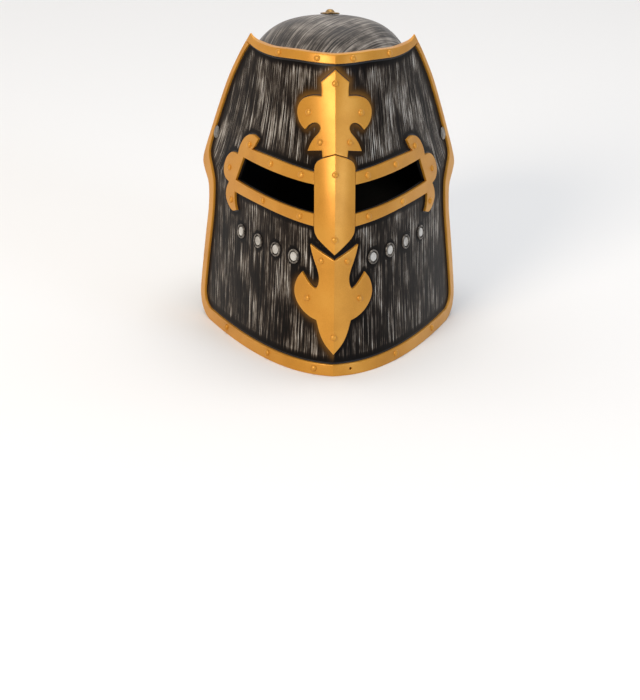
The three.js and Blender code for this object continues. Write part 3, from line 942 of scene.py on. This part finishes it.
cup_profile = [
    (0, -2), (4.25, -2), (4.25, -0.4), (4.9, -0.4), (4.9, 0.5), (4.75, 0.8), (4.4, 0.9),
    (4.05, 0.8), (3.85, 0.5), (3.8, -1.2), (0, -1.2),
]
stud_profile = [
    (0, -0.9), (3.05, -0.9), (3.1, 0.3), (3.0, 0.52), (2.75, 0.6), (2.5, 0.56), (0, 0.56),
]
cups = bmesh.new()
studs = bmesh.new()
for arc in breath_arcs:
    for side in (1, -1):
        seat = Vector(on_plate(side * arc, breath_height, 0))
        facing = plate_normal(side * arc, breath_height)
        turned_piece(cups, cup_profile, 36, seat, facing)
        turned_piece(studs, stud_profile, 36, seat, facing)
close_up(cups)
close_up(studs)
breath_cups = finished("breath_cups", cups, "visor", [], [ring_paint])
even_normals(breath_cups)
stud_nodes = [f"breath_stud_{side}_{number}" for side in ("left", "right") for number in (1, 2, 3, 4)]
breath_studs = finished(
    "breath_studs", studs, "visor", stud_nodes, [silver_paint]
)
even_normals(breath_studs)


# Top band. A flat gold strip along the top edge of the face plate, moulded proud of it and
# painted, with its ends swept up to the plate's corners.
gold_foot = 0.08
edge_radius = 0.6


def shadow_strip(bm, line, width, closed=True):
    """Painted shadow beside a gold piece: a strip of bare black plastic to the left of a line."""
    edges = []
    for number, (arc, height) in enumerate(line):
        last = len(line) - 1
        before = line[number - 1] if closed or number else line[number]
        after = line[number + 1 if number < last else (0 if closed else last)]
        along = Vector((after[0] - before[0], after[1] - before[1])).normalized()
        aside = (arc - along.y * width, height + along.x * width)
        edges.append([bm.verts.new((*spot, gold_foot / 2)) for spot in ((arc, height), aside)])
    for (inner, outer), (next_inner, next_outer) in zip(edges, edges[1:] + edges[:1] * closed):
        bm.faces.new((inner, next_inner, next_outer, outer)).material_index = 1


def gold_sheet(name, outline, holes, painted_shade, nodes, arc_step=2.5, height_step=4, swell=0):
    """A gold piece on the plate, with strips of painted shadow of (line, width, closed) beside it."""
    bm = bmesh.new()
    flat_sheet(bm, outline, holes, gold_foot, gold_lift, edge_radius)
    for line, width, closed in painted_shade:
        shadow_strip(bm, line, width, closed)
    bend(bm, arc_step, height_step, swell)
    piece = finished(
        name, bm, "visor", nodes, [gold_paint, black_plastic_and_shadow]
    )
    crease_ridge(piece)
    even_normals(piece)
    return piece


band_outline = lower_line[::-1] + upper_line
band_outline = band_outline[:-1] + mirrored(band_outline)[:-1]
under_band = lower_line + mirrored(lower_line)[1:]
# A strip of black plastic under its lower edge is painted shadow.
gold_sheet("top_strip", band_outline, [], [(under_band, 1.6, False)], ["top_band"])


# Edge binding. The same gold strip goes down both rear edges of the plate, widens below the
# pivots, and runs along the bottom edge, where a small moulding hole shows beside the ridge.
pivot_arc = 138.6
outer_line = rear_line[:-1] + [(87.8, 198.4)]
binding_half = outer_line + inner_line[::-1]
binding_outline = binding_half + mirrored(binding_half)
pinhole = circle_line(12.3, 4.2, 0.8, 16)
inside_binding = mirrored(inner_line) + inner_line
# A strip of black plastic along its inner edge is painted shadow.
gold_sheet(
    "edge_strip", binding_outline, [pinhole], [(inside_binding, 1.1, False)], ["edge_binding"]
)


# Brow ornament. A lily-like plate in gold paint that stands on the ridge above the nose.
# A strip of black plastic round it is painted shadow.
gold_sheet("brow_lily", brow_outline, [], [(brow_outline, 0.55, True)], ["brow_ornament"], 2, 3)


# Nasal. The nose plate between the eye slits, folded sharply along the keel.
# A strip of black plastic round it is painted shadow.
gold_sheet(
    "nose_plate", nasal_outline, [], [(nasal_outline, 0.6, True)], ["nasal"], 1.5, 3, swell=0.45
)


# Chin ornament. A second lily-like plate, point down, with two horns beside the nose plate.
# A strip of black plastic round it is painted shadow.
gold_sheet("chin_lily", chin_outline, [], [(chin_outline, 0.6, True)], ["chin_ornament"], 2, 3)


# Eye frames. A scrolled gold plate lies round each eye slit, its inner edge flush with the
# slit's black wall.
for side in ("left", "right"):
    shape = frame_outline if side == "left" else mirrored(frame_outline)
    beside = frame_line if side == "left" else mirrored(frame_line)
    # A strip of black plastic along the frame's outer line is painted shadow.
    gold_sheet(
        f"eye_frame_plate_{side}", shape, [], [(beside, 0.9, False)], [f"eye_frame_{side}"], 2, 3
    )


# Domed rivets. Small round heads on the gold pieces, moulded with them and painted gold.
ridge_rivets = {
    "brow_rivet_1": (0, 188),
    "nasal_rivet_1": (0, 133),
    "nasal_rivet_2": (0, 92),
    "chin_rivet_1": (0, 26.5),
    "bottom_rivet_1": (-13.5, 4.2),
}
paired_rivets = {
    "top_rivet": [(12.4, 202.4), (46, 200.3)],
    "brow_rivet": [(19.6, 168.3), (10.9, 151.3)],
    "eye_rivet": [
        (26.8, 128.7), (57.5, 128.9), (84.5, 134.4), (114, 112.6), (110.6, 92), (67.2, 103),
        (28, 102.5),
    ],
    "chin_rivet": [(9.8, 76.6), (20, 50)],
    "bottom_rivet": [(55.5, 4.4), (112, 4.4)],
}
rivets = dict(ridge_rivets)
for name, places in paired_rivets.items():
    for number, (arc, height) in enumerate(places, 1):
        rivets[f"{name}_left_{number}"] = (arc, height)
        rivets[f"{name}_right_{number}"] = (-arc, height)
rivet_profile = [
    (0, -0.3), (2.25, -0.3), (2.2, 0.3), (2.0, 0.75), (1.6, 1.1), (1.1, 1.32), (0.55, 1.45), (0, 1.5),
]
bm = bmesh.new()
for arc, height in rivets.values():
    turned_piece(
        bm,
        rivet_profile,
        24,
        Vector(on_plate(arc, height, gold_lift)),
        plate_normal(arc, height),
    )
close_up(bm)
finished("gold_rivets", bm, "visor", list(rivets), [gold_paint])


# Pivot rivets. A dull metal domed head on each side of the plate, on a pin that turns in
# the skull and is held inside it by a washer.
pin_metal = flake_paint(
    "dull_steel_rivet",
    [(0.1, "#5E5953"), (0.5, "#7A756D"), (0.9, "#948F87")],
    metal=0.85,
    mottle_size=0.003,
    grit_size=0.0008,
    dull_from=0.38,
    dull_to=0.3,
)
for side, hand in (("left", 1), ("right", -1)):
    outer = Vector(on_plate(hand * pivot_arc, pivot_height, 0))
    bm = bmesh.new()
    turned_piece(
        bm,
        [
            (0, -0.9), (2, -0.9), (2, 0.3), (4.4, 0.3), (4.6, 0.5), (4.45, 0.8), (3.6, 1.2),
            (2.2, 1.4), (0, 1.5),
        ],
        40,
        outer,
        plate_normal(hand * pivot_arc, pivot_height),
    )
    turned_piece(
        bm,
        [
            (0, 0), (2, 0), (2, 4), (3.4, 4), (3.4, 5.6), (2, 5.6), (2, 13.6), (4.1, 13.6),
            (4.2, 13.8), (4.2, 14.8), (4.1, 15), (0, 15),
        ],
        40,
        Vector((outer.x, pivot_setback * mm, pivot_height * mm)),
        Vector((-hand, 0, 0)),
    )
    close_up(bm)
    pin = finished(
        f"pivot_pin_{side}", bm, "visor", [f"pivot_rivet_{side}"], [pin_metal]
    )
    even_normals(pin)


# Studio. A plain pale floor, a soft light high on the left, a cooler one low on the right,
# and a pale surround that is brightest behind the helmet, where a real sweep of paper hangs.
floor_half_width = 6
floor_mesh = bpy.data.meshes.new("floor")
bm = bmesh.new()
bmesh.ops.create_grid(bm, x_segments=1, y_segments=1, size=floor_half_width)
bm.to_mesh(floor_mesh)
bm.free()
floor = bpy.data.objects.new("floor", floor_mesh)
bpy.context.scene.collection.objects.link(floor)
pale = bpy.data.materials.new("pale_paper_floor")
pale.use_nodes = True
shader = pale.node_tree.nodes["Principled BSDF"]
shader.inputs["Base Color"].default_value = linear("#EDECEA")
shader.inputs["Roughness"].default_value = 0.8
floor_mesh.materials.append(pale)

lamps = (
    # name, place in metres, width in metres, watts, colour
    ("key", (-1.3, -1.9, 1.3), 1.0, 42, "#FFF2E2"),
    ("fill", (1.5, -1.4, 0.6), 0.8, 12, "#C2DDFF"),
    ("top", (0.1, 0.4, 2.1), 1.4, 16, "#FFFFFF"),
)
lit_spot = Vector((0, -0.02, 0.12))
for name, spot, size, power, colour in lamps:
    lamp = bpy.data.objects.new(name, bpy.data.lights.new(name, "AREA"))
    lamp.data.shape = "DISK"
    lamp.data.size = size
    lamp.data.energy = power
    lamp.data.color = linear(colour)[:3]
    lamp.location = spot
    lamp.rotation_euler = (lit_spot - Vector(spot)).to_track_quat("-Z", "Y").to_euler()
    bpy.context.scene.collection.objects.link(lamp)
world = bpy.data.worlds.new("studio")
world.use_nodes = True
sky = world.node_tree.nodes["Background"]
facing = add_node(world.node_tree, "ShaderNodeTexCoord")
parts = add_node(world.node_tree, "ShaderNodeSeparateXYZ", {"Vector": facing.outputs["Generated"]})
brightness = add_node(
    world.node_tree,
    "ShaderNodeMapRange",
    {"Value": parts.outputs["Y"], "From Min": -0.2, "From Max": 0.6, "To Min": 0.35, "To Max": 1.05},
    interpolation_type="SMOOTHSTEP",
)
world.node_tree.links.new(brightness.outputs["Result"], sky.inputs["Strength"])
sky.inputs["Color"].default_value = linear("#F6F7FA")
bpy.context.scene.world = world
bpy.context.scene.view_settings.view_transform = "Standard"
